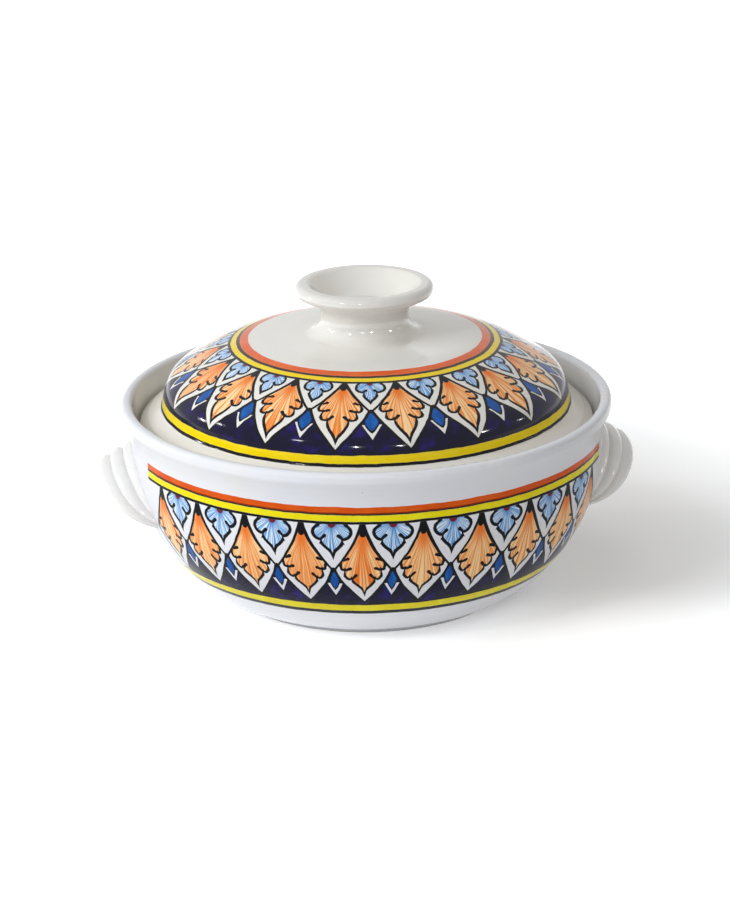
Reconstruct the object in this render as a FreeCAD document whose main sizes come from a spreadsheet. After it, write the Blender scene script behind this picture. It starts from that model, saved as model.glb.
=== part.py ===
import FreeCAD, Part
import math
import os
import re

import Sketcher
from FreeCAD import Placement, Rotation, Vector

# A round stoneware casserole with a domed lid, after a painted North African stew pot.
# Five pieces of fired clay: the pot, its two ear handles, the lid and the lid's knob.
# Millimetres, +Z up. The foot ring stands on Z = 0 and the handles lie along X.

SIZES = {
    # Pot, outside
    "rim_radius": 123.6,
    "rim_height": 101.0,
    "rim_thickness": 5.4,
    "rim_round": 2.5,
    "rim_band": 5.0,
    "rim_band_round": 4.0,
    "rim_overhang": 4.2,
    "rim_flare": 14.0,
    "flare_round": 30.0,
    "belly_height": 44.0,
    "belly_round": 88.0,
    "heel_radius": 86.0,
    "heel_height": 6.3,
    "heel_round": 46.0,
    "foot_radius": 72.5,
    "foot_height": 1.8,
    "foot_width": 9.0,
    "foot_recess": 1.4,
    # Pot, inside, with the gallery that carries the lid
    "pot_wall": 7.2,
    "pot_floor": 9.0,
    "gallery_drop": 16.0,
    "gallery_lean": 3.0,
    "gallery_width": 7.6,
    "gallery_depth": 5.0,
    "gallery_underside": 6.0,
    "gallery_round": 1.5,
    # Lid, from the brim upwards
    "brim_clearance": 0.8,
    "brim_inset": 0.2,
    "brim_edge": 4.4,
    "brim_round": 1.4,
    "brim_width": 11.2,
    "brim_rise": 12.2,
    "brim_step": 0.7,
    "brim_step_width": 3.7,
    "brim_step_rise": 2.9,
    "skirt_round": 2.4,
    "skirt_lean": 2.8,
    "skirt_rise": 13.6,
    "shoulder_round": 14.0,
    "dome_rise": 19.7,
    "crown_radius": 66.7,
    "crown_round": 78.0,
    "crown_rise": 1.9,
    "lid_wall": 6.4,
    "lid_hollow_round": 6.0,
    # Knob, a rolled lip round a dish on a waisted stem
    "knob_radius": 34.6,
    "knob_roll": 3.1,
    "knob_waist_round": 9.2,
    "knob_waist_rise": 1.2,
    "knob_flat": 0.3,
    "knob_seat": 0.9,
    "dish_depth": 12.0,
    "dish_radius": 16.0,
    "dish_round": 11.0,
    # Handles, a ridged strap that arches over a finger gap
    "handle_drop": 51.0,
    "handle_span": 36.0,
    "handle_rise": 28.2,
    "handle_strap": 8.0,
    "handle_ridge_round": 4.4,
    "handle_tip_round": 4.6,
    "crown_pitch": 7.3,
    "crown_tilt": 27.0,
    "crown_bury": 2.2,
    "arch_angle": 45.0,
    "arch_pitch": 7.5,
    "arch_tilt": 22.0,
    "arch_bury": 2.6,
    "leg_angle": 70.0,
    "leg_pitch": 6.8,
    "leg_tilt": 12.0,
    "leg_bury": 4.6,
    "toe_angle": 96.0,
    "toe_pitch": 2.4,
    "toe_tilt": 4.0,
    "toe_bury": 19.0,
}

doc = FreeCAD.newDocument("casserole")
sheet = doc.addObject("Spreadsheet::Sheet", "Sizes")
for row, (alias, size) in enumerate(SIZES.items(), start=1):
    sheet.set(f"A{row}", alias)
    sheet.set(f"B{row}", str(size))
    sheet.setAlias(f"B{row}", alias)
doc.recompute()


def tied(formula):
    """A formula of size names, with each name pointed at the sheet."""
    return re.sub(r"[a-z]+(?:_[a-z]+)+", lambda name: "Sizes." + name.group(), formula)


def number(formula):
    """What a formula of size names comes to."""
    value = doc.Sizes.evalExpression(tied(formula))
    return float(getattr(value, "Value", value))


def fix(sketch, kind, *where, to):
    """Adds a dimension to a sketch and ties it to a formula."""
    index = sketch.addConstraint(Sketcher.Constraint(kind, *where, number(to)))
    sketch.setExpression(f"Constraints[{index}]", tied(to))


def join(sketch, kind, *where):
    sketch.addConstraint(Sketcher.Constraint(kind, *where))


def place(sketch, item, end, x, y):
    """Ties one point of a sketch to two formulas, or to an axis where one of them is nought."""
    for kind, formula, axis in (("DistanceX", x, -2), ("DistanceY", y, -1)):
        if formula == "0":
            join(sketch, "PointOnObject", item, end, axis)
        else:
            fix(sketch, kind, -1, 1, item, end, to=formula)


def new_sketch(body, name, plane):
    sketch = body.newObject("Sketcher::SketchObject", name)
    support = next(feature for feature in body.Origin.OriginFeatures if feature.Role == plane)
    sketch.AttachmentSupport = [(support, "")]
    sketch.MapMode = "FlatFace"
    return sketch


# Outlines: straight runs from corner to corner, each corner sharp or rounded.

RUN_SHARE = 0.98  # of a run, the most that the roundings at its two ends may take up


def corner_reach(before, corner, after, radius):
    """How far back along its two runs a rounded corner begins, and which way it turns."""
    run = (corner - before).normalize()
    onward = (after - corner).normalize()
    turn = run.x * onward.y - run.y * onward.x
    return radius * abs(turn) / (1 + run.dot(onward)), turn > 0


def draw_outline(sketch, corners):
    """A closed outline through (x, y, rounding) corners given as formulas.

    Roundings that would meet on a short run are drawn smaller, by the same share.
    """
    count = len(corners)
    points = [Vector(number(x), number(y), 0) for x, y, _ in corners]
    radii = [number(rounding) for _, _, rounding in corners]
    reach = []
    leftward = []
    for i in range(count):
        far, left = corner_reach(points[i - 1], points[i], points[(i + 1) % count], radii[i])
        reach.append(far)
        leftward.append(left)
    fit = [1.0] * count
    for i in range(count):
        after = (i + 1) % count
        room = (points[after] - points[i]).Length
        share = RUN_SHARE * room / max(reach[i] + reach[after], room * RUN_SHARE)
        fit[i] = min(fit[i], share)
        fit[after] = min(fit[after], share)

    def ends(i):
        to_before = (points[i - 1] - points[i]).normalize()
        to_after = (points[(i + 1) % count] - points[i]).normalize()
        return points[i] + to_before * reach[i] * fit[i], points[i] + to_after * reach[i] * fit[i]

    runs = []
    for i in range(count):
        line = Part.LineSegment(ends(i)[1], ends((i + 1) % count)[0])
        runs.append(sketch.addGeometry(line))
    for i, (x, y, rounding) in enumerate(corners):
        if radii[i] == 0:
            join(sketch, "Coincident", runs[i - 1], 2, runs[i], 1)
            place(sketch, runs[i], 1, x, y)
            continue
        start, finish = ends(i)
        side = (finish - start).cross(Vector(0, 0, 1 if leftward[i] else -1)).normalize()
        span = (finish - start).Length / 2
        radius = radii[i] * fit[i]
        middle = (start + finish) / 2 + side * (radius - math.sqrt(radius**2 - span**2))
        arc = sketch.addGeometry(Part.Arc(start, middle, finish))
        first, last = (1, 2) if leftward[i] else (2, 1)
        join(sketch, "Tangent", runs[i - 1], 2, arc, first)
        join(sketch, "Tangent", arc, last, runs[i], 1)
        fix(sketch, "Radius", arc, to=rounding if fit[i] == 1 else f"{fit[i]:.6f} * ({rounding})")
        tip = sketch.addGeometry(Part.Point(points[i]), True)
        place(sketch, tip, 1, x, y)
        join(sketch, "PointOnObject", tip, 1, runs[i - 1])
        join(sketch, "PointOnObject", tip, 1, runs[i])


def turned(label, corners):
    """A body of revolution about Z with this outline on its right side."""
    body = doc.addObject("PartDesign::Body", label)
    profile = new_sketch(body, label + "_profile", "XZ_Plane")
    draw_outline(profile, corners)
    turn = body.newObject("PartDesign::Revolution", label + "_turn")
    turn.Profile = profile
    turn.ReferenceAxis = (profile, ["V_Axis"])
    turn.Angle = 360
    return body


def inset(before, corner, after, wall):
    """The corner of a parallel outline that lies a wall's thickness to the left of this one."""
    def normal(start, end):
        run = f"(({end[0]}) - ({start[0]}))"
        rise = f"(({end[1]}) - ({start[1]}))"
        length = f"sqrt({run} ^ 2 + {rise} ^ 2)"
        return f"(0 - {rise} / {length})", f"({run} / {length})"
    (ax, ay), (bx, by) = normal(before, corner), normal(corner, after)
    share = f"{wall} / (1 + {ax} * {bx} + {ay} * {by})"
    return [f"{c} + ({a} + {b}) * {share}" for c, a, b in zip(corner, (ax, ay), (bx, by))]


# The pot: a foot ring, a rounded belly, a flared rim, and a gallery inside the rim.

WALL_RADIUS = "rim_radius - rim_overhang"
GALLERY_RADIUS = "rim_radius - rim_thickness - gallery_lean"
GALLERY_HEIGHT = "rim_height - gallery_drop"
LEDGE_RADIUS = f"{GALLERY_RADIUS} - gallery_width"

foot = ("foot_radius", "foot_height")
heel = ("heel_radius", "heel_height")
belly = (WALL_RADIUS, "belly_height")
flare = (WALL_RADIUS, "rim_height - rim_flare")
inner_belly = inset(heel, belly, flare, "pot_wall")
inner_heel_x = f"{inner_belly[0]} - ({inner_belly[1]} - pot_floor) * " \
    f"({WALL_RADIUS} - heel_radius) / (belly_height - heel_height)"

pot_outside = [
    ("foot_radius", "0", "0"),
    (*foot, "0"),
    (*heel, "heel_round"),
    (*belly, "belly_round"),
    (*flare, "flare_round"),
    ("rim_radius", "rim_height - rim_band", "rim_band_round"),
    ("rim_radius", "rim_height", "rim_round"),
]
pot_inside = [
    ("rim_radius - rim_thickness", "rim_height", "rim_round"),
    (GALLERY_RADIUS, GALLERY_HEIGHT, "gallery_round"),
    (LEDGE_RADIUS, GALLERY_HEIGHT, "gallery_round"),
    (LEDGE_RADIUS, f"{GALLERY_HEIGHT} - gallery_depth", "gallery_round"),
    (f"{WALL_RADIUS} - pot_wall", f"{GALLERY_HEIGHT} - gallery_depth - gallery_underside",
     "gallery_underside"),
    (*inner_belly, "belly_round - pot_wall"),
    (inner_heel_x, "pot_floor", "heel_round - pot_wall"),
    ("0", "pot_floor", "0"),
]
pot_underside = [
    ("0", "foot_recess", "0"),
    ("foot_radius - foot_width", "foot_recess", "0"),
    ("foot_radius - foot_width", "0", "0"),
]
pot_bowl = turned("pot_bowl", pot_underside + pot_outside + pot_inside)

# The lid: a brim that sits on the gallery, a short skirt, a dome and a flat crown.

BRIM_RADIUS = f"{GALLERY_RADIUS} - brim_clearance"
SKIRT_RADIUS = f"{BRIM_RADIUS} - brim_width"
SKIRT_HEIGHT = f"{GALLERY_HEIGHT} + brim_rise"
SHOULDER_HEIGHT = f"{SKIRT_HEIGHT} + skirt_rise"
CROWN_HEIGHT = f"{SHOULDER_HEIGHT} + dome_rise"
LID_HEIGHT = f"{CROWN_HEIGHT} + crown_rise"
KNOB_FOOT_RADIUS = "knob_radius - knob_roll"

brim_edge_top = f"{GALLERY_HEIGHT} + brim_edge"
step_radius = f"{BRIM_RADIUS} - brim_step_width"
step_height = f"{brim_edge_top} + brim_step_rise"
step_top = (f"{step_radius} - brim_step", f"{step_height} + brim_step")
skirt = (SKIRT_RADIUS, SKIRT_HEIGHT)
shoulder = (f"{SKIRT_RADIUS} - skirt_lean", SHOULDER_HEIGHT)
crown = ("crown_radius", CROWN_HEIGHT)
seat_edge = (KNOB_FOOT_RADIUS, LID_HEIGHT)

lid_outside = [
    ("0", f"{LID_HEIGHT} - knob_seat", "0"),
    (KNOB_FOOT_RADIUS, f"{LID_HEIGHT} - knob_seat", "0"),
    (*seat_edge, "0"),
    (*crown, "crown_round"),
    (*shoulder, "shoulder_round"),
    (*skirt, "skirt_round"),
    (*step_top, "0"),
    (step_radius, step_height, "0"),
    (BRIM_RADIUS, brim_edge_top, "brim_round"),
    (BRIM_RADIUS, GALLERY_HEIGHT, "brim_round"),
]
lid_inside = [
    (f"{LEDGE_RADIUS} + brim_inset", GALLERY_HEIGHT, "brim_round"),
    (*inset(step_top, skirt, shoulder, "lid_wall"), "lid_hollow_round"),
    (*inset(skirt, shoulder, crown, "lid_wall"), "shoulder_round - lid_wall"),
    (*inset(shoulder, crown, seat_edge, "lid_wall"), "crown_round - lid_wall"),
    ("0", f"{LID_HEIGHT} - lid_wall", "0"),
]
lid_dome = turned("lid_dome", lid_outside + lid_inside)

# The knob: its foot sits flush in a shallow seat on the crown.

WAIST_RADIUS = f"{KNOB_FOOT_RADIUS} - knob_waist_round - knob_flat"
LIP_HEIGHT = f"{LID_HEIGHT} + 2 * knob_waist_round + knob_waist_rise"
KNOB_TOP = f"{LIP_HEIGHT} + 2 * knob_roll + knob_flat"

lid_knob = turned("lid_knob", [
    ("0", f"{LID_HEIGHT} - knob_seat", "0"),
    (KNOB_FOOT_RADIUS, f"{LID_HEIGHT} - knob_seat", "0"),
    (*seat_edge, "0"),
    (WAIST_RADIUS, LID_HEIGHT, "knob_waist_round"),
    (WAIST_RADIUS, LIP_HEIGHT, "knob_waist_round"),
    ("knob_radius", LIP_HEIGHT, "knob_roll"),
    ("knob_radius", KNOB_TOP, "knob_roll"),
    ("knob_radius - 2 * knob_roll - knob_flat", KNOB_TOP, "knob_roll"),
    ("dish_radius", f"{KNOB_TOP} - dish_depth", "dish_round"),
    ("0", f"{KNOB_TOP} - dish_depth", "0"),
])

# The handles: a strap with three ridges, fanned about a line through its two feet.

HANDLE_FOOT_HEIGHT = "rim_height - handle_drop"


def strap_section(body, name, station, side):
    """One cross-section of the strap, in a plane that turns about the line through the feet.

    Along the strap's face the first ridge starts in the wall and the third one ends in a round tip.
    """
    lean = f"{station}_angle" if side else "0"
    reach = f"handle_span * handle_rise / " \
        f"sqrt((handle_rise * sin({lean})) ^ 2 + (handle_span * cos({lean})) ^ 2)"
    wall = f"sqrt(({WALL_RADIUS}) ^ 2 - ({reach} * sin({lean})) ^ 2)"
    root = (f"{wall} - {station}_bury", reach)
    along = (f"cos({station}_tilt)", f"(0 - sin({station}_tilt))")
    groove = [[f"{r} + {n} * {station}_pitch * {a}" for r, a in zip(root, along)] for n in (0, 1, 2)]
    inner = (f"{root[0]} - handle_strap * sin({station}_tilt)",
             f"{root[1]} - handle_strap * cos({station}_tilt)")
    sketch = new_sketch(body, name, "XZ_Plane")
    sketch.AttachmentOffset = Placement(Vector(0, 0, 0), Rotation(Vector(1, 0, 0), side))
    sketch.setExpression("AttachmentOffset.Base.y", tied(HANDLE_FOOT_HEIGHT))
    if side:
        sketch.setExpression("AttachmentOffset.Rotation.Angle", tied(f"{side} * {station}_angle"))

    def spot(formulas):
        return Vector(number(formulas[0]), number(formulas[1]), 0)

    way = Vector(number(along[0]), number(along[1]), 0)
    out = Vector(-way.y, way.x, 0)
    tip_round = number("handle_tip_round")
    drop = number("handle_strap") - tip_round
    heel_run = 2 * number(f"{station}_pitch") + math.sqrt(tip_round**2 - drop**2)
    under = spot(inner) + way * heel_run
    back = sketch.addGeometry(Part.LineSegment(spot(groove[0]), spot(inner)))
    underside = sketch.addGeometry(Part.LineSegment(spot(inner), under))
    far = under + (way + out) * tip_round
    tip = sketch.addGeometry(Part.Arc(under, far, spot(groove[2])))
    ridges = []
    for start, end in ((groove[2], groove[1]), (groove[1], groove[0])):
        half = (spot(end) - spot(start)).Length / 2
        bulge = number("handle_ridge_round") - math.sqrt(number("handle_ridge_round") ** 2 - half**2)
        top = (spot(start) + spot(end)) / 2 + out * bulge
        ridges.append(sketch.addGeometry(Part.Arc(spot(start), top, spot(end))))
    guide = sketch.addGeometry(Part.LineSegment(spot(groove[0]), spot(groove[2])), True)
    place(sketch, back, 1, *groove[0])
    place(sketch, back, 2, *inner)
    join(sketch, "Coincident", back, 2, underside, 1)
    join(sketch, "Tangent", underside, 2, tip, 1)
    place(sketch, tip, 2, *groove[2])
    fix(sketch, "Radius", tip, to="handle_tip_round")
    join(sketch, "Coincident", guide, 1, back, 1)
    join(sketch, "Coincident", guide, 2, tip, 2)
    join(sketch, "Parallel", underside, guide)
    join(sketch, "Coincident", tip, 2, ridges[0], 1)
    place(sketch, ridges[0], 2, *groove[1])
    join(sketch, "Coincident", ridges[0], 2, ridges[1], 1)
    join(sketch, "Coincident", ridges[1], 2, back, 1)
    for ridge in ridges:
        fix(sketch, "Radius", ridge, to="handle_ridge_round")
    return sketch


STATIONS = [("toe", -1), ("leg", -1), ("arch", -1), ("crown", 0), ("arch", 1), ("leg", 1), ("toe", 1)]

strap = doc.addObject("PartDesign::Body", "handle_strap_body")
sections = [
    strap_section(strap, f"strap_{order}_{station}", station, side)
    for order, (station, side) in enumerate(STATIONS)
]
loft = strap.newObject("PartDesign::AdditiveLoft", "strap_loft")
loft.Profile = sections[0]
loft.Sections = sections[1:]

pot_form = turned("pot_form", [("0", "0", "0"), *pot_outside, ("0", "rim_height", "0")])
right_handle = doc.addObject("Part::Cut", "right_handle")
right_handle.Base = strap
right_handle.Tool = pot_form
left_handle = doc.addObject("Part::Mirroring", "left_handle")
left_handle.Source = right_handle
left_handle.Normal = Vector(1, 0, 0)

doc.recompute()
for item in doc.Objects:
    if {"Invalid", "Error"} & set(item.State):
        raise RuntimeError(f"{item.Label} failed: {item.State}")

PIECES = (pot_bowl, left_handle, right_handle, lid_dome, lid_knob)
for piece in PIECES:
    if piece.Shape.isNull() or not piece.Shape.isValid():
        raise RuntimeError(f"{piece.Label} has no valid shape")

os.makedirs("parts", exist_ok=True)
for piece in PIECES:
    piece.Shape.exportStep(f"parts/{piece.Label}.step")
    box = piece.Shape.BoundBox
    print(piece.Label, len(piece.Shape.Solids), f"{piece.Shape.Volume / 1000:.1f} cm3", box)
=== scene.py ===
import math

import bpy
from mathutils import Matrix, Vector

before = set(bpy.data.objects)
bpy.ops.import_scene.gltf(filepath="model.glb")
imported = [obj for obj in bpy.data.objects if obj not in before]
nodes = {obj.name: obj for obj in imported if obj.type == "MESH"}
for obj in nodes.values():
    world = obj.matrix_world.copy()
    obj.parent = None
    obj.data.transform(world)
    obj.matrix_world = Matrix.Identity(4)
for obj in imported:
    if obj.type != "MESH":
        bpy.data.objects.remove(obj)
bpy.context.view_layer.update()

# A round glazed stew pot with a domed lid, standing on a white studio floor.
# Metres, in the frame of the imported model. Painted sizes are in millimetres.

scene = bpy.context.scene
MM = 0.001


def srgb(red, green, blue):
    """A colour given as screen values from 0 to 255, as the linear RGBA that nodes take."""
    def linear(value):
        share = value / 255
        return share / 12.92 if share <= 0.04045 else ((share + 0.055) / 1.055) ** 2.4
    return (linear(red), linear(green), linear(blue), 1.0)


# Camera, from the photograph's viewing angle

PHOTO_WIDTH, PHOTO_HEIGHT = 730, 899
FOCAL_PIXELS = 2600
SENSOR = 36.0
VIEW_AZIMUTH = math.radians(-6.0)
VIEW_ELEVATION = math.radians(19.46)
VIEW_ROLL = math.radians(-0.95)
VIEW_DISTANCE = 1.3241
TARGET_HEIGHT = 0.0698
TARGET_SIDE = -0.00095


def add_camera():
    right = Vector((math.cos(VIEW_AZIMUTH), math.sin(VIEW_AZIMUTH), 0))
    level_back = Vector((math.sin(VIEW_AZIMUTH), -math.cos(VIEW_AZIMUTH), 0))
    back = level_back * math.cos(VIEW_ELEVATION) + Vector((0, 0, math.sin(VIEW_ELEVATION)))
    up = back.cross(right)
    rolled_right = right * math.cos(VIEW_ROLL) + up * math.sin(VIEW_ROLL)
    rolled_up = up * math.cos(VIEW_ROLL) - right * math.sin(VIEW_ROLL)
    target = right * TARGET_SIDE + Vector((0, 0, TARGET_HEIGHT))
    data = bpy.data.cameras.new("camera")
    data.sensor_width = SENSOR
    data.lens = FOCAL_PIXELS * SENSOR / max(PHOTO_WIDTH, PHOTO_HEIGHT)
    camera = bpy.data.objects.new("camera", data)
    scene.collection.objects.link(camera)
    axes = Matrix((rolled_right, rolled_up, back)).transposed().to_4x4()
    camera.matrix_world = Matrix.Translation(target + back * VIEW_DISTANCE) @ axes
    scene.camera = camera


# Node arithmetic

class Field:
    """A number that varies over a surface, as the output of a shader node."""

    def __init__(self, socket):
        self.socket = socket

    def __add__(self, other):
        return calc("ADD", self, other)

    def __radd__(self, other):
        return calc("ADD", other, self)

    def __sub__(self, other):
        return calc("SUBTRACT", self, other)

    def __rsub__(self, other):
        return calc("SUBTRACT", other, self)

    def __mul__(self, other):
        return calc("MULTIPLY", self, other)

    def __rmul__(self, other):
        return calc("MULTIPLY", other, self)

    def __truediv__(self, other):
        return calc("DIVIDE", self, other)

    def __pow__(self, other):
        return calc("POWER", self, other)

    def __abs__(self):
        return calc("ABSOLUTE", self)


def feed(socket, value):
    """Gives a node's input a number, a vector, a colour or a Field."""
    if isinstance(value, Field):
        socket.id_data.links.new(value.socket, socket)
    else:
        socket.default_value = value


def calc(operation, *terms):
    """A Math node on Fields and numbers."""
    tree = next(term.socket.id_data for term in terms if isinstance(term, Field))
    node = tree.nodes.new("ShaderNodeMath")
    node.operation = operation
    for socket, term in zip(node.inputs, terms):
        feed(socket, term)
    return Field(node.outputs[0])


def least(first, second):
    return calc("MINIMUM", first, second)


def most(first, second):
    return calc("MAXIMUM", first, second)


def length(first, second):
    """The distance that two distances square to each other make."""
    return (first * first + second * second) ** 0.5


def remap(field, start, end, low=0.0, high=1.0):
    """A smooth step from low to high as the field goes from start to end."""
    node = field.socket.id_data.nodes.new("ShaderNodeMapRange")
    node.interpolation_type = "SMOOTHSTEP"
    for socket, value in zip(node.inputs, (field, start, end, low, high)):
        feed(socket, value)
    return Field(node.outputs[0])


SOFT = 0.14  # half the width of a painted edge, in mm


def under(field, limit):
    """1 where the field is less than the limit, with a painted edge."""
    return remap(field - limit, -SOFT, SOFT, 1.0, 0.0)


def over(field, limit):
    """1 where the field is more than the limit, with a painted edge."""
    return remap(field - limit, -SOFT, SOFT)


def between(field, low, high):
    return over(field, low) * under(field, high)


def drawn(field, points):
    """A curve drawn through (x, y) points that start at x = 0."""
    span = max(x for x, _ in points)
    height = max(y for _, y in points)
    node = field.socket.id_data.nodes.new("ShaderNodeFloatCurve")
    line = node.mapping.curves[0]
    line.points[0].location = (points[0][0] / span, points[0][1] / height)
    line.points[1].location = (points[-1][0] / span, points[-1][1] / height)
    for x, y in points[1:-1]:
        line.points.new(x / span, y / height)
    for point in line.points:
        point.handle_type = "AUTO_CLAMPED"
    node.mapping.update()
    feed(node.inputs["Value"], field / span)
    return Field(node.outputs[0]) * height


def vector(x, y, z):
    tree = next(term.socket.id_data for term in (x, y, z) if isinstance(term, Field))
    node = tree.nodes.new("ShaderNodeCombineXYZ")
    for socket, term in zip(node.inputs, (x, y, z)):
        feed(socket, term)
    return Field(node.outputs[0])


def vector_math(operation, first, second=None, output="Vector"):
    node = first.socket.id_data.nodes.new("ShaderNodeVectorMath")
    node.operation = operation
    feed(node.inputs[0], first)
    if second is not None:
        feed(node.inputs[1], second)
    return Field(node.outputs[output])


def noise(place, size=1.0, detail=2.0, roughness=0.5):
    """Cloudy noise about 0, mostly within half a unit, with lumps of this size."""
    node = place.socket.id_data.nodes.new("ShaderNodeTexNoise")
    feed(node.inputs["Vector"], place)
    feed(node.inputs["Scale"], 1 / size)
    feed(node.inputs["Detail"], detail)
    feed(node.inputs["Roughness"], roughness)
    return Field(node.outputs[0]) - 0.5


MIX_UNDER, MIX_OVER, MIX_RESULT = 6, 7, 2  # the colour sockets of a Mix node


class Coat:
    """A colour built up in layers, each brushed on where its mask is 1."""

    def __init__(self, tree, ground):
        self.tree = tree
        self.colour = ground

    def brush(self, mask, colour):
        node = self.tree.nodes.new("ShaderNodeMix")
        node.data_type = "RGBA"
        feed(node.inputs[0], mask)
        feed(node.inputs[MIX_UNDER], self.colour)
        feed(node.inputs[MIX_OVER], colour)
        self.colour = Field(node.outputs[MIX_RESULT])


class MaskedCoat:
    """A coat that is brushed on only where its own mask is 1."""

    def __init__(self, coat, mask):
        self.coat = coat
        self.mask = mask

    def brush(self, mask, colour):
        self.coat.brush(mask * self.mask, colour)


class Spot:
    """A point of the surface: place, height and radius in mm, and angle from -Y to +X in degrees."""

    def __init__(self, tree):
        metres = Field(tree.nodes.new("ShaderNodeTexCoord").outputs["Object"])
        self.place = vector_math("MULTIPLY", metres, (1 / MM, 1 / MM, 1 / MM))
        split = tree.nodes.new("ShaderNodeSeparateXYZ")
        feed(split.inputs[0], self.place)
        self.x, self.y, self.height = (Field(socket) for socket in split.outputs)
        self.radius = length(self.x, self.y)

    def angle(self):
        return calc("ARCTAN2", self.x, self.y * -1.0) * math.degrees(1)


UPWARD = 0.35       # how much a surface that looks up counts as the outside
FACING_EDGE = 0.02  # how squarely a surface has to look out to count in full


def outward(spot):
    """1 where the surface looks away from the pot's axis or up, and 0 on its inside."""
    geometry = spot.place.socket.id_data.nodes.new("ShaderNodeNewGeometry")
    away = vector_math("NORMALIZE", vector_math("MULTIPLY", spot.place, (1, 1, 0)))
    raised = vector_math("ADD", away, (0, 0, UPWARD))
    normal = Field(geometry.outputs["True Normal"])
    return remap(vector_math("DOT_PRODUCT", raised, normal, "Value"), 0.0, FACING_EDGE)


# Glaze and painted colours

WHITE = srgb(231, 231, 235)
# painted light: a whiter glaze colour for the lower wall, as if lit by the floor
BOUNCE_LIT_WHITE = srgb(246, 246, 250)
CREAM = srgb(233, 229, 221)
# painted shade on the knob's stem and lip
KNOB_SHADE_CREAM = srgb(223, 219, 212)
HANDLE_WHITE = srgb(232, 229, 225)
GREY_CLOUD = srgb(224, 224, 226)
WARM_CLOUD = srgb(232, 226, 212)
THROWN_GREY = srgb(214, 213, 210)
PINHOLE = srgb(150, 128, 104)
CLAY = srgb(206, 178, 146)
CLAY_DARK = srgb(176, 144, 112)
BLACK = srgb(11, 10, 14)
NAVY = srgb(11, 7, 42)
NAVY_BRIGHT = srgb(32, 17, 108)
YELLOW = srgb(248, 212, 0)
YELLOW_THIN = srgb(246, 222, 40)
SUN = srgb(255, 222, 0)
SUN_THIN = srgb(255, 231, 36)
LEMON = srgb(238, 220, 4)
LEMON_THIN = srgb(246, 234, 30)
ORANGE = srgb(218, 80, 0)
ORANGE_THIN = srgb(230, 98, 20)
CORAL = srgb(228, 92, 20)
CORAL_THIN = srgb(240, 113, 44)
RUST = srgb(128, 44, 0)
OLIVE = srgb(52, 34, 4)
LEAF_DEEP = srgb(236, 104, 8)
LEAF_ORANGE = srgb(246, 150, 64)
LEAF_PEACH = srgb(247, 166, 92)
LEAF_PALE = srgb(254, 222, 168)
SKY = srgb(120, 176, 224)
SKY_DEEP = srgb(48, 112, 186)
SKY_PALE = srgb(236, 243, 250)
BLUE = srgb(0, 76, 156)
BLUE_LIGHT = srgb(16, 100, 178)
RED = srgb(118, 28, 42)

# Lobed shapes

POT_LEAF = {
    "edge": [
        (0, 36.8), (1.1, 34.2), (2.3, 32.7), (4.6, 31.3), (7.9, 29.8), (10.9, 28.2), (12.6, 26.8),
        (13.4, 26.0), (15.4, 26.9), (18.6, 26.4), (22.1, 24.7), (23.6, 22.7), (24.5, 21.6), (27, 22.3),
        (31, 21.1), (34.3, 19.4), (36, 17.5), (38, 14.8), (60, 8),
    ],
    "curls": [((5.9, 26.0), (3.7, 23.3)), ((9.1, 20.4), (6.2, 19.2)), ((9.2, 14.5), (7.1, 13.5))],
    "outline": 0.75,
    "colours": (LEAF_DEEP, LEAF_PEACH, LEAF_PALE),
}
LID_LEAF = {
    "edge": [
        (0, 37.8), (1.1, 35.6), (3.4, 33.0), (6.6, 30.0), (9.6, 26.9), (11.2, 24.9), (12.4, 23.6),
        (14, 24.4), (16.4, 24.6), (21.1, 23.1), (23.4, 20.8), (24.6, 19.0), (28.5, 19.9), (34.1, 18.7),
        (37, 17.0), (39, 14.8), (60, 8),
    ],
    "curls": [((4.9, 24.0), (2.7, 21.0)), ((8.2, 17.9), (5.5, 16.6)), ((8.7, 12.3), (6.9, 11.3))],
    "outline": 0.75,
    "colours": (LEAF_DEEP, LEAF_ORANGE, LEAF_PALE),
}
POT_PALMETTE = {
    "edge": [
        (0, 18.1), (1.8, 16.6), (6.5, 14.7), (14.6, 13.3), (23.5, 12.1), (28.5, 11.2), (31.5, 10.0),
        (36, 10.4), (48, 10.9), (61, 10.6), (69, 9.6), (82, 7.0), (100, 5.5),
    ],
    "curls": [((5.5, 8.5), (3.4, 6.5))],
    "outline": 0.85,
    "colours": (SKY_DEEP, SKY, SKY_PALE),
}
LID_PALMETTE = {
    "edge": [
        (0, 16.6), (3.3, 15.3), (9, 13.8), (16, 12.0), (20.5, 10.6), (23, 9.3), (27, 9.5), (34, 9.8),
        (44.5, 10.1), (57, 9.6), (70, 8.4), (84, 6.6), (100, 5.5),
    ],
    "curls": [((4.1, 8.5), (2.4, 6.8))],
    "outline": 0.8,
    "colours": (SKY_DEEP, SKY, SKY_PALE),
}
CURL_START, CURL_END = 0.6, 0.95  # half the width of a curl at its two ends
NUDGE = 0.4                       # degrees over which the edge's slant is taken
STEEPEST = 6.0                    # the most by which it shortens a distance to the edge, squared
STREAK_ACROSS = 0.42              # how fast the brush streaks change per degree
STREAK_ALONG = 0.35               # and on the way from the top to the edge
LEAF_SEED = 7.3                   # sets the streaks of one leaf apart from the next


def curl(side, down, start, end):
    """1 along a brush stroke from start to end, which swells on its way."""
    run_side, run_down = end[0] - start[0], end[1] - start[1]
    from_side, from_down = side - start[0], down - start[1]
    along = (from_side * run_side + from_down * run_down) / (run_side**2 + run_down**2)
    along = least(most(along, 0.0), 1.0)
    distance = length(from_side - along * run_side, from_down - along * run_down)
    return under(distance - along * (CURL_END - CURL_START), CURL_START)


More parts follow.
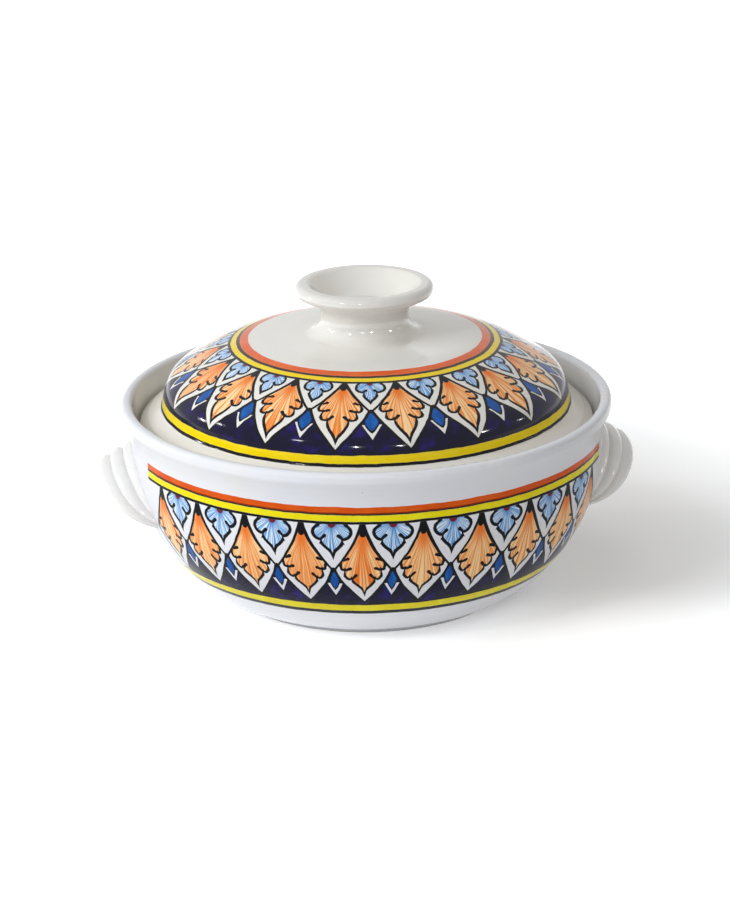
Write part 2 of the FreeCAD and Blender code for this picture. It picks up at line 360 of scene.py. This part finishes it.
def fan(coat, panel, side, down, number, shape):
    """A lobed leaf with brush streaks fanning out from its top, its black outline and curls.

    A shape's edge is given by degrees from straight down and the distance from its top, and its curls,
    which run in between the lobes, by their two ends as (side, down).
    """
    deep, middle, pale = shape["colours"]
    reach = length(side, down)
    lean = calc("ARCTAN2", side, down) * math.degrees(1)
    edge = drawn(lean, shape["edge"])
    steep = (drawn(lean + NUDGE, shape["edge"]) - edge) / (reach * math.radians(NUDGE))
    depth = (edge - reach) / least(steep * steep + 1, STEEPEST) ** 0.5
    share = reach / edge
    place = vector(lean * STREAK_ACROSS, share * STREAK_ALONG, number * LEAF_SEED)
    streak = noise(place, detail=3.0, roughness=0.65)
    body = over(depth, 0.0) * panel
    coat.brush(body, middle)
    coat.brush(body * remap(streak, -0.02, 0.16) * 0.9, deep)
    coat.brush(body * remap(share, 0.5, 0.02) * 0.8, deep)
    coat.brush(body * remap(streak, 0.05, -0.1) * remap(share, 0.12, 0.5) * 0.95, pale)
    ink = under(abs(depth), shape["outline"])
    for start, end in shape["curls"]:
        ink = most(ink, curl(side, down, start, end))
    coat.brush(ink * panel, BLACK)


# The painted motif, in a cell with a leaf in its middle. A unit is about a millimetre.

CELL_WIDTH, CELL_DEPTH = 30.0, 50.0
TIP = 47.2             # how far down a petal ends
HALF_PETAL = 13.4      # half its width where the petals cross
APEX = 1.55            # half the width of the black peak above it
FLANK_SLOPE = 0.87     # turns a distance across into one square to the petal's upper side
BELLY_SLOPE = 0.8      # and to its lower side
CROSS_STROKE = 1.35    # thickness of the upper black strokes where they cross
PETAL_STROKE = 1.3     # and of the lower ones
STROKE_OVERLAP = 1.5   # how far the upper ones run on past the crossing
LEAF_OVERLAP = 0.3     # how far a leaf reaches under its strokes
KNOT_DOWN = 5.2        # how far down a leaf starts, under a black dot
KNOT_SIZE = 1.5        # radius of that dot
JOINT_SIZE = 1.2       # and of the one where two petals cross
BERRY_SIZE = 1.9       # and of the red one over a palmette
PALMETTE_RISE = 0.6    # how far above the cell a palmette's top lies
CLOUD_SCALE = 0.12     # how fast the navy's tone changes per unit
CLOUD_SEED = 3.7       # sets the tone of one cell apart from the next
JEWEL_POWER = 1.35     # 1 is a lozenge with straight sides, 2 an oval
JEWEL_EDGE = 2.4       # units in one step of a jewel's measure, which is 1 at its edge
JEWEL_RIM = 1.36       # where its black rim ends
JEWEL_GLOW = 0.85      # and its lighter blue begins
CHEVRON_STROKE = 1.6   # thickness of the white chevron
CHEVRON_START = 2.2    # how far below the jewel's middle it starts


def draw_jewel(coat, gap, down, cloud, inner, style):
    """A blue jewel with a black rim over a white chevron, between two petals."""
    jewel_across, jewel_along, jewel_down = style["jewel"]
    below = abs(down - jewel_down)
    chevron_across, chevron_along = style["chevron"]
    chevron = (gap / chevron_across + below / chevron_along - 1) * chevron_across
    stroke = between(chevron, -CHEVRON_STROKE, 0.0) * over(down, jewel_down + CHEVRON_START)
    coat.brush(stroke * inner, style["white"])
    jewel = (gap / jewel_across) ** JEWEL_POWER + (below / jewel_along) ** JEWEL_POWER
    coat.brush(under((jewel - JEWEL_RIM) * JEWEL_EDGE, 0.0) * inner, BLACK)
    coat.brush(under((jewel - 1.0) * JEWEL_EDGE, 0.0) * inner, BLUE)
    glow = under((jewel - JEWEL_GLOW) * JEWEL_EDGE, 0.0) * remap(cloud, -0.1, 0.2)
    coat.brush(glow * inner, BLUE_LIGHT)


def motif(coat, across, down, number, whole, inner, style):
    """One cell: a leaf in a white petal, and halves of what lies between two leaves.

    The mask whole is 1 over the panel, and inner is 1 between its outermost leaves.
    """
    crossing, bend = style["crossing"], style["bend"]
    side = abs(across)
    gap = CELL_WIDTH / 2 - side
    rows = between(down, 0.0, CELL_DEPTH)
    whole = whole * rows
    inner = inner * rows
    fall = down / crossing
    flank = (fall * (1 - bend) + fall * fall * bend) * HALF_PETAL + APEX
    upper = (flank - side) * FLANK_SLOPE
    thickness = remap(across, -1.0, 1.0, *style["strokes"])
    line = remap(down, crossing, crossing / 2, CROSS_STROKE, thickness)
    past = most(down - crossing, 0.0) / (TIP - crossing)
    belly = HALF_PETAL - past ** style["belly_power"] * HALF_PETAL
    lower = (belly - side) * BELLY_SLOPE
    triangle = under(upper, 0.0)
    petal = over(lower, 0.0)

    ground = inner * (1 - triangle) * (1 - petal)
    coat.brush(ground, NAVY)
    cloud = noise(vector(across * CLOUD_SCALE, down * CLOUD_SCALE, number * CLOUD_SEED), detail=3.0)
    coat.brush(ground * remap(cloud, -0.02, 0.2) * 0.8, NAVY_BRIGHT)
    draw_jewel(coat, gap, down, cloud, inner, style)

    leaf_panel = whole * over(upper - line, -LEAF_OVERLAP)
    fan(coat, leaf_panel, side, down - KNOT_DOWN, number, style["leaf"])
    fan(coat, inner * triangle, gap, down + PALMETTE_RISE, number + 0.5, style["palmette"])
    coat.brush(under(length(gap, down), BERRY_SIZE) * inner, RED)

    strokes = over(upper, 0.0) * under(upper - line, 0.0) * under(down, crossing + STROKE_OVERLAP)
    strokes = most(strokes, between(lower, -PETAL_STROKE, 0.0) * over(down, crossing))
    strokes = most(strokes, over(upper, 0.0) * under(down, KNOT_DOWN))
    strokes = most(strokes, under(length(side, down - KNOT_DOWN), KNOT_SIZE))
    coat.brush(strokes * whole, BLACK)
    coat.brush(under(length(gap, down - crossing), JOINT_SIZE) * inner, BLACK)


# Runs: how far down a turned piece's outside a point lies, measured along the surface

RUN_STEPS = 14
ON_SEAM = 1e-6       # how far from the XZ plane a point of the seam may lie, in metres
LOOKS_OUTSIDE = 0.1  # how squarely a point of the outside looks its way


def turned_run(node, facing, level):
    """(level, run) points down a turned node's outside, in mm.

    Facing is the way that the outside looks, as (outward, upward). Level gives a point's place in the
    list by its radius and height.
    """
    seam = [
        vertex.co / MM for vertex in nodes[node].data.vertices
        if vertex.co.x > 0 and abs(vertex.co.y) < ON_SEAM
        and vertex.normal.x * facing[0] + vertex.normal.z * facing[1] > LOOKS_OUTSIDE
    ]
    seam.sort(key=lambda point: level(point.x, point.z))
    points = []
    run = 0.0
    for before, point in zip([seam[0], *seam], seam):
        run += (point - before).length
        points.append((level(point.x, point.z), run))
    return points


def at_level(points, wanted):
    """The run at one level, between the two nearest points."""
    for (low, start), (high, end) in zip(points, points[1:]):
        if low <= wanted <= high and high > low:
            return start + (end - start) * (wanted - low) / (high - low)
    raise ValueError(f"no surface at level {wanted}")


def run_field(field, points, first, last):
    """The run as a Field, nought at the first level, for a field that gives the level."""
    start = at_level(points, first)
    steps = [first + (last - first) * i / RUN_STEPS for i in range(RUN_STEPS + 1)]
    return drawn(field - first, [(step - first, at_level(points, step) - start) for step in steps])


# Painted bands

WOBBLE_SIZE, WOBBLE = 16.0, 1.5    # length and width of the hand's slow swings, in mm
TREMBLE_SIZE, TREMBLE = 4.5, 0.45  # and of its quick ones
TONE_SIZE, TONE = 9.0, 0.7         # size and strength of the thin patches in a ring


def painted(coat, spot, run, turn, cell, number, whole, inner, style):
    """Rings of colour above and below a row of motifs, all drawn with a slightly unsteady hand.

    Turn counts the cells round the piece, and cell is the width of one in mm.
    """
    shake = noise(spot.place, WOBBLE_SIZE, detail=1.0) * WOBBLE
    tremble = noise(spot.place, TREMBLE_SIZE, detail=1.0) * TREMBLE
    swapped = vector(spot.y / WOBBLE_SIZE, spot.x / WOBBLE_SIZE, spot.height / WOBBLE_SIZE)
    drift = noise(swapped, detail=1.0) * WOBBLE
    turn = turn + (drift + tremble) / cell
    run = run + shake * 0.5 + tremble
    top, bottom = style["row"]
    index = calc("FLOOR", turn)
    across = (turn - index - 0.5) * CELL_WIDTH
    down = (run - top) * (CELL_DEPTH / (bottom - top))
    motif(coat, across, down, number(index), whole(turn), inner(turn), style)
    tone = remap(noise(spot.place, TONE_SIZE, detail=3.0), -0.1, 0.2) * TONE
    for start, end, colour, thin in style["rings"]:
        ring = between(run, start, end)
        if end < bottom:
            ring = ring * whole(turn)
        coat.brush(ring, colour)
        if thin:
            coat.brush(ring * tone, thin)


# The pot's two painted panels, from handle to handle, and its rings, with runs in mm from the top

POT_FACING = (1.0, 0.0)
POT_FIRST, POT_LAST = -85.6, -16.0  # levels where the run starts and ends
POT_PAINT_START, POT_PAINT_END = 1.0, 70.0
POT_STYLE = {
    "rings": [
        (2.1, 5.6, ORANGE, ORANGE_THIN), (5.0, 5.7, RUST, None), (5.6, 6.3, BLACK, None),
        (6.3, 9.35, LEMON, LEMON_THIN), (9.35, 10.75, BLACK, None), (59.8, 60.9, BLACK, None),
        (60.9, 66.0, LEMON, LEMON_THIN), (66.0, 68.9, BLACK, None),
    ],
    "row": (10.7, 60.2), "crossing": 25.2, "bend": 0.48, "strokes": (1.35, 1.8), "belly_power": 1.35,
    "jewel": (2.3, 5.5, 31.8), "chevron": (5.2, 10.7), "leaf": POT_LEAF, "palmette": POT_PALMETTE,
    "white": WHITE,
}
PANEL_CELLS = 10
PANEL_PITCH, PANEL_MIDDLE = 13.9, -0.4  # angles of one cell and of the front panel's middle
PANEL_RADIUS = 113.0                    # of the wall, on average, for the width of a cell
PANEL_SEED = 31.0                       # sets the noise of one panel apart from the other
BASE_START, BASE_FULL = 26.0, 18.0      # heights between which the lower wall is painted whiter, as light from the floor
FOOT_GLAZED, FOOT_BARE = 0.25, 0.05     # and between which the foot turns to bare clay


def decorate_pot_and_brighten_base(coat, spot):
    points = turned_run("pot_bowl", POT_FACING, lambda radius, height: -height)
    run = run_field(spot.height * -1.0, points, POT_FIRST, POT_LAST)
    facing_out = outward(spot)
    # Painted light: the lower outside wall is painted whiter, for the light that the floor throws up
    # on it
    coat.brush(remap(spot.height, BASE_START, BASE_FULL) * facing_out, BOUNCE_LIT_WHITE)
    outside = under(run, POT_PAINT_END) * over(run, POT_PAINT_START) * facing_out
    angle = spot.angle() - PANEL_MIDDLE
    half_turns = calc("ROUND", angle / 180.0)
    half = PANEL_CELLS / 2
    painted(
        MaskedCoat(coat, outside), spot, run,
        turn=(angle - half_turns * 180.0) / PANEL_PITCH,
        cell=2 * math.pi * PANEL_RADIUS * PANEL_PITCH / 360,
        number=lambda index: index + half_turns * PANEL_SEED,
        whole=lambda at: under(abs(at) * CELL_WIDTH, half * CELL_WIDTH),
        inner=lambda at: under(abs(at) * CELL_WIDTH, (half - 0.5) * CELL_WIDTH),
        style=POT_STYLE,
    )


def bare_foot(spot):
    return remap(spot.height, FOOT_GLAZED, FOOT_BARE)


# The lid's painted row, all the way round, and its rings, with runs in mm from the crown

LID_FACING = (0.6, 0.8)
LID_FIRST, LID_LAST = -81.3, 8.0
LID_PAINT_START, LID_PAINT_END = 7.0, 69.0
LID_STYLE = {
    "rings": [
        (8.7, 13.0, CORAL, CORAL_THIN), (13.0, 14.9, OLIVE, None), (14.9, 17.8, YELLOW, YELLOW_THIN),
        (17.8, 19.3, BLACK, None), (61.9, 62.7, BLACK, None), (62.7, 66.4, SUN, SUN_THIN),
        (66.4, 68.0, BLACK, None),
    ],
    "row": (19.2, 62.2), "crossing": 22.2, "bend": 0.25, "strokes": (1.7, 1.75), "belly_power": 1.2,
    "jewel": (2.9, 6.5, 29.9), "chevron": (5.25, 11.85), "leaf": LID_LEAF, "palmette": LID_PALMETTE,
    "white": CREAM,
}
LID_CELLS = 18
LID_PHASE = -4.4   # angle where a cell begins
LID_RADIUS = 85.0  # of the band, on average


def decorate_lid(coat, spot):
    points = turned_run("lid_dome", LID_FACING, lambda radius, height: radius - height)
    run = run_field(spot.radius - spot.height, points, LID_FIRST, LID_LAST)
    outside = under(run, LID_PAINT_END) * over(run, LID_PAINT_START) * outward(spot)
    painted(
        MaskedCoat(coat, outside), spot, run,
        turn=(spot.angle() - LID_PHASE) / (360 / LID_CELLS),
        cell=2 * math.pi * LID_RADIUS / LID_CELLS,
        number=lambda index: calc("FLOORED_MODULO", index, float(LID_CELLS)),
        whole=lambda at: 1.0,
        inner=lambda at: 1.0,
        style=LID_STYLE,
    )


# Shine, as the specular level of the glaze, and the knob's painted shade

HANDLE_SHINE, KNOB_SHINE, POT_SHINE = 0.9, 0.8, 0.08
LID_SHINE, BAND_SHINE = 0.4, 0.2     # of the lid as one number, and of its painted band
BAND_RADIUS, CROWN_RADIUS = 58.0, 46.0
KNOB_FOOT, KNOB_STEM = 132.0, 141.0  # heights between which the knob is painted greyer, as shade on its stem and lip


def lid_shine(spot):
    """The crown round the knob shines as the knob does, and the painted band less."""
    return remap(spot.radius, BAND_RADIUS, CROWN_RADIUS, BAND_SHINE, KNOB_SHINE)


def shade_knob(coat, spot):
    """Painted shade: the stem and the lip are painted a little greyer than the foot, which runs out
    into the crown.
    """
    coat.brush(remap(spot.height, KNOB_FOOT, KNOB_STEM) * outward(spot), KNOB_SHADE_CREAM)


# Glaze, with sizes in mm

CLOUD_SIZE, CLOUD_TONE = 38.0, 0.3
THROW_LENGTH, THROW_PITCH = 90.0, 2.2  # throwing lines run long round the pot and close together
THROW_TONE = 0.35
PINHOLE_SPACING, PINHOLE_TONE = 17.0, 0.55
PINHOLE_RIM, PINHOLE_CORE = 0.022, 0.012  # radii, as shares of the spacing
PATCH_SIZE, PATCH = 22.0, 0.1  # size of the duller patches, and how much duller they are
GRAIN_SIZE, GRAIN_TONE = 1.2, 0.5
GLAZE_ROUGHNESS, CLAY_ROUGHNESS = 0.09, 0.6
GLAZE_IOR = 1.5
RELIEF = [(26.0, 0.1), (7.0, 0.02), (2.6, 0.012)]  # size of the lumps and their depth
THROW_DEPTH, PINHOLE_DEPTH = 0.035, 0.04


def new_material(name):
    material = bpy.data.materials.new(name)
    material.use_nodes = True
    tree = material.node_tree
    shader = tree.nodes["Principled BSDF"]
    return material, tree, shader


def glaze(name, white, shine, paint_and_shade=None, bare=None, shine_over=None):
    """White tin glaze over pale clay, with painted colour, painted light and shade, and bare clay
    where they are asked for.

    Shine is one number for the whole piece, and shine_over makes it vary over the surface.
    """
    material, tree, shader = new_material(name)
    spot = Spot(tree)
    coat = Coat(tree, white)
    cloud = noise(spot.place, CLOUD_SIZE, detail=3.0)
    coat.brush(remap(cloud, -0.05, 0.25) * CLOUD_TONE, GREY_CLOUD)
    coat.brush(remap(cloud, 0.05, -0.25) * CLOUD_TONE, WARM_CLOUD)
    turned = vector(spot.x / THROW_LENGTH, spot.y / THROW_LENGTH, spot.height / THROW_PITCH)
    rings = noise(turned, detail=3.0, roughness=0.6)
    coat.brush(remap(rings, 0.05, 0.35) * THROW_TONE, THROWN_GREY)
    speck = tree.nodes.new("ShaderNodeTexVoronoi")
    feed(speck.inputs["Vector"], spot.place)
    feed(speck.inputs["Scale"], 1 / PINHOLE_SPACING)
    from_middle = Field(speck.outputs["Distance"])
    pinhole = remap(from_middle, PINHOLE_RIM, PINHOLE_CORE) * PINHOLE_TONE
    coat.brush(pinhole, PINHOLE)
    if paint_and_shade:
        paint_and_shade(coat, spot)
    rough = GLAZE_ROUGHNESS + noise(spot.place, PATCH_SIZE, detail=4.0) * PATCH
    if bare:
        mask = bare(spot)
        grain = noise(spot.place, GRAIN_SIZE, detail=4.0)
        coat.brush(mask, CLAY)
        coat.brush(mask * remap(grain, -0.1, 0.2) * GRAIN_TONE, CLAY_DARK)
        rough = rough + mask * CLAY_ROUGHNESS
    feed(shader.inputs["Base Color"], coat.colour)
    feed(shader.inputs["Roughness"], rough)
    shader.inputs["IOR"].default_value = GLAZE_IOR
    shader.inputs["Specular IOR Level"].default_value = shine
    if shine_over:
        feed(shader.inputs["Specular IOR Level"], shine_over(spot))
    relief = rings * THROW_DEPTH - pinhole * PINHOLE_DEPTH
    for size, depth in RELIEF:
        relief = relief + noise(spot.place, size) * depth
    bump = tree.nodes.new("ShaderNodeBump")
    bump.inputs["Strength"].default_value = 1.0
    bump.inputs["Distance"].default_value = MM
    feed(bump.inputs["Height"], relief)
    tree.links.new(bump.outputs["Normal"], shader.inputs["Normal"])
    return material


def dress(node, material):
    nodes[node].data.materials.clear()
    nodes[node].data.materials.append(material)


# Studio. Lamps by name, azimuth, elevation, distance, size, power and colour.

AMBIENT = 0.29
LAMP_TARGET = Vector((0, 0, 0.07))
NEUTRAL = (1, 1, 1)
WARM = (1.0, 0.98, 0.95)
SOFT_LAMPS = [
    ("window", -66, 40, 1.6, 0.9, 13.0, (0.88, 0.94, 1.0)),
    ("low", -36, 4, 1.6, 0.7, 3.6, (0.82, 0.90, 1.0)),
    ("fill", 52, 42, 1.7, 0.4, 1.4, (1.0, 0.97, 0.92)),
    ("top", 10, 80, 1.7, 0.6, 1.8, WARM),
]
BULBS = [
    ("bulb_far_left", -108, 15, 1.5, 0.10, 2.2, NEUTRAL),
    ("bulb_left", -98, 24, 1.5, 0.09, 1.6, NEUTRAL),
    ("bulb_right", 88, 16, 1.5, 0.06, 0.6, NEUTRAL),
    ("bulb_front", -46, 33, 1.7, 0.13, 2.6, WARM),
]
SPARKLES = [(-12, 21), (12, 21), (62, 20)]  # azimuth and elevation of bulbs that only make highlights
SPARKLE = (1.6, 0.05, 3.0, NEUTRAL)         # their distance, size, power and colour
FLOOR_HALF = 6.0
FLOOR_COLOUR = (0.9, 0.9, 0.9, 1)
FLOOR_ROUGHNESS, FLOOR_SHINE = 0.9, 0.1


def add_lamp(name, azimuth, elevation, distance, size, power, colour, mirrored=True, lights=True):
    """A square lamp that looks at the pot, placed by the angles that a camera would have there.

    One that isn't mirrored makes no highlight, and one that doesn't light makes only that.
    """
    turn, tilt = math.radians(azimuth), math.radians(elevation)
    level = math.cos(tilt)
    back = Vector((math.sin(turn) * level, -math.cos(turn) * level, math.sin(tilt)))
    data = bpy.data.lights.new(name, "AREA")
    data.size = size
    data.energy = power
    data.color = colour
    lamp = bpy.data.objects.new(name, data)
    lamp.visible_glossy = mirrored
    lamp.visible_diffuse = lights
    lamp.location = LAMP_TARGET + back * distance
    lamp.rotation_euler = back.to_track_quat("Z", "Y").to_euler()
    scene.collection.objects.link(lamp)


def seen_ray(tree):
    """1 for rays from the camera, and for those that a glossy surface or glass sends on."""
    path = tree.nodes.new("ShaderNodeLightPath")
    camera = Field(path.outputs["Is Camera Ray"])
    glossy = Field(path.outputs["Is Glossy Ray"])
    transmission = Field(path.outputs["Is Transmission Ray"])
    return most(most(camera, glossy), transmission)


def add_world():
    """White where it is seen, and dimmer as a light."""
    world = bpy.data.worlds.new("studio")
    world.use_nodes = True
    tree = world.node_tree
    background = tree.nodes["Background"]
    background.inputs["Color"].default_value = (1, 1, 1, 1)
    feed(background.inputs["Strength"], seen_ray(tree) * (1 - AMBIENT) + AMBIENT)
    scene.world = world


def add_floor():
    """A pale floor, lifted to white where it is seen away from the pot's shadow."""
    low, high = -FLOOR_HALF, FLOOR_HALF
    corners = [(low, low, 0), (high, low, 0), (high, high, 0), (low, high, 0)]
    mesh = bpy.data.meshes.new("floor")
    mesh.from_pydata(corners, [], [(0, 1, 2, 3)])
    floor = bpy.data.objects.new("floor", mesh)
    scene.collection.objects.link(floor)
    material, tree, shader = new_material("floor")
    shader.inputs["Base Color"].default_value = FLOOR_COLOUR
    shader.inputs["Roughness"].default_value = FLOOR_ROUGHNESS
    shader.inputs["Specular IOR Level"].default_value = FLOOR_SHINE
    shader.inputs["Emission Color"].default_value = (1, 1, 1, 1)
    spot = Spot(tree)
    # Painted light: the floor glows more in front, on the left, far off, behind and beyond the shadow,
    # which hides its shade there
    front = remap(spot.y, -25.0, -95.0)
    left = remap(spot.x, 40.0, -60.0)
    far = remap(spot.radius, 240.0, 460.0)
    behind = remap(spot.y, 15.0, 140.0)
    beyond = remap(spot.x, 130.0, 230.0)
    lift = 0.2 + front * 0.3 + left * 0.18 + far * 0.6 + behind * 0.12 + beyond * 0.1
    feed(shader.inputs["Emission Strength"], seen_ray(tree) * lift)
    mesh.materials.append(material)


add_camera()
add_world()
add_floor()
for lamp in SOFT_LAMPS:
    add_lamp(*lamp, mirrored=False)
for lamp in BULBS:
    add_lamp(*lamp)
for azimuth, elevation in SPARKLES:
    add_lamp(f"sparkle_{azimuth}", azimuth, elevation, *SPARKLE, lights=False)

handle_glaze = glaze("handle_glaze", HANDLE_WHITE, HANDLE_SHINE)
dress("left_handle", handle_glaze)
dress("right_handle", handle_glaze)
dress("lid_knob", glaze("knob_glaze", CREAM, KNOB_SHINE, shade_knob))
dress("pot_bowl", glaze("pot_painted_glaze", WHITE, POT_SHINE, decorate_pot_and_brighten_base, bare_foot))
dress("lid_dome", glaze("lid_painted_glaze", CREAM, LID_SHINE, decorate_lid, shine_over=lid_shine))

scene.view_settings.view_transform = "Standard"
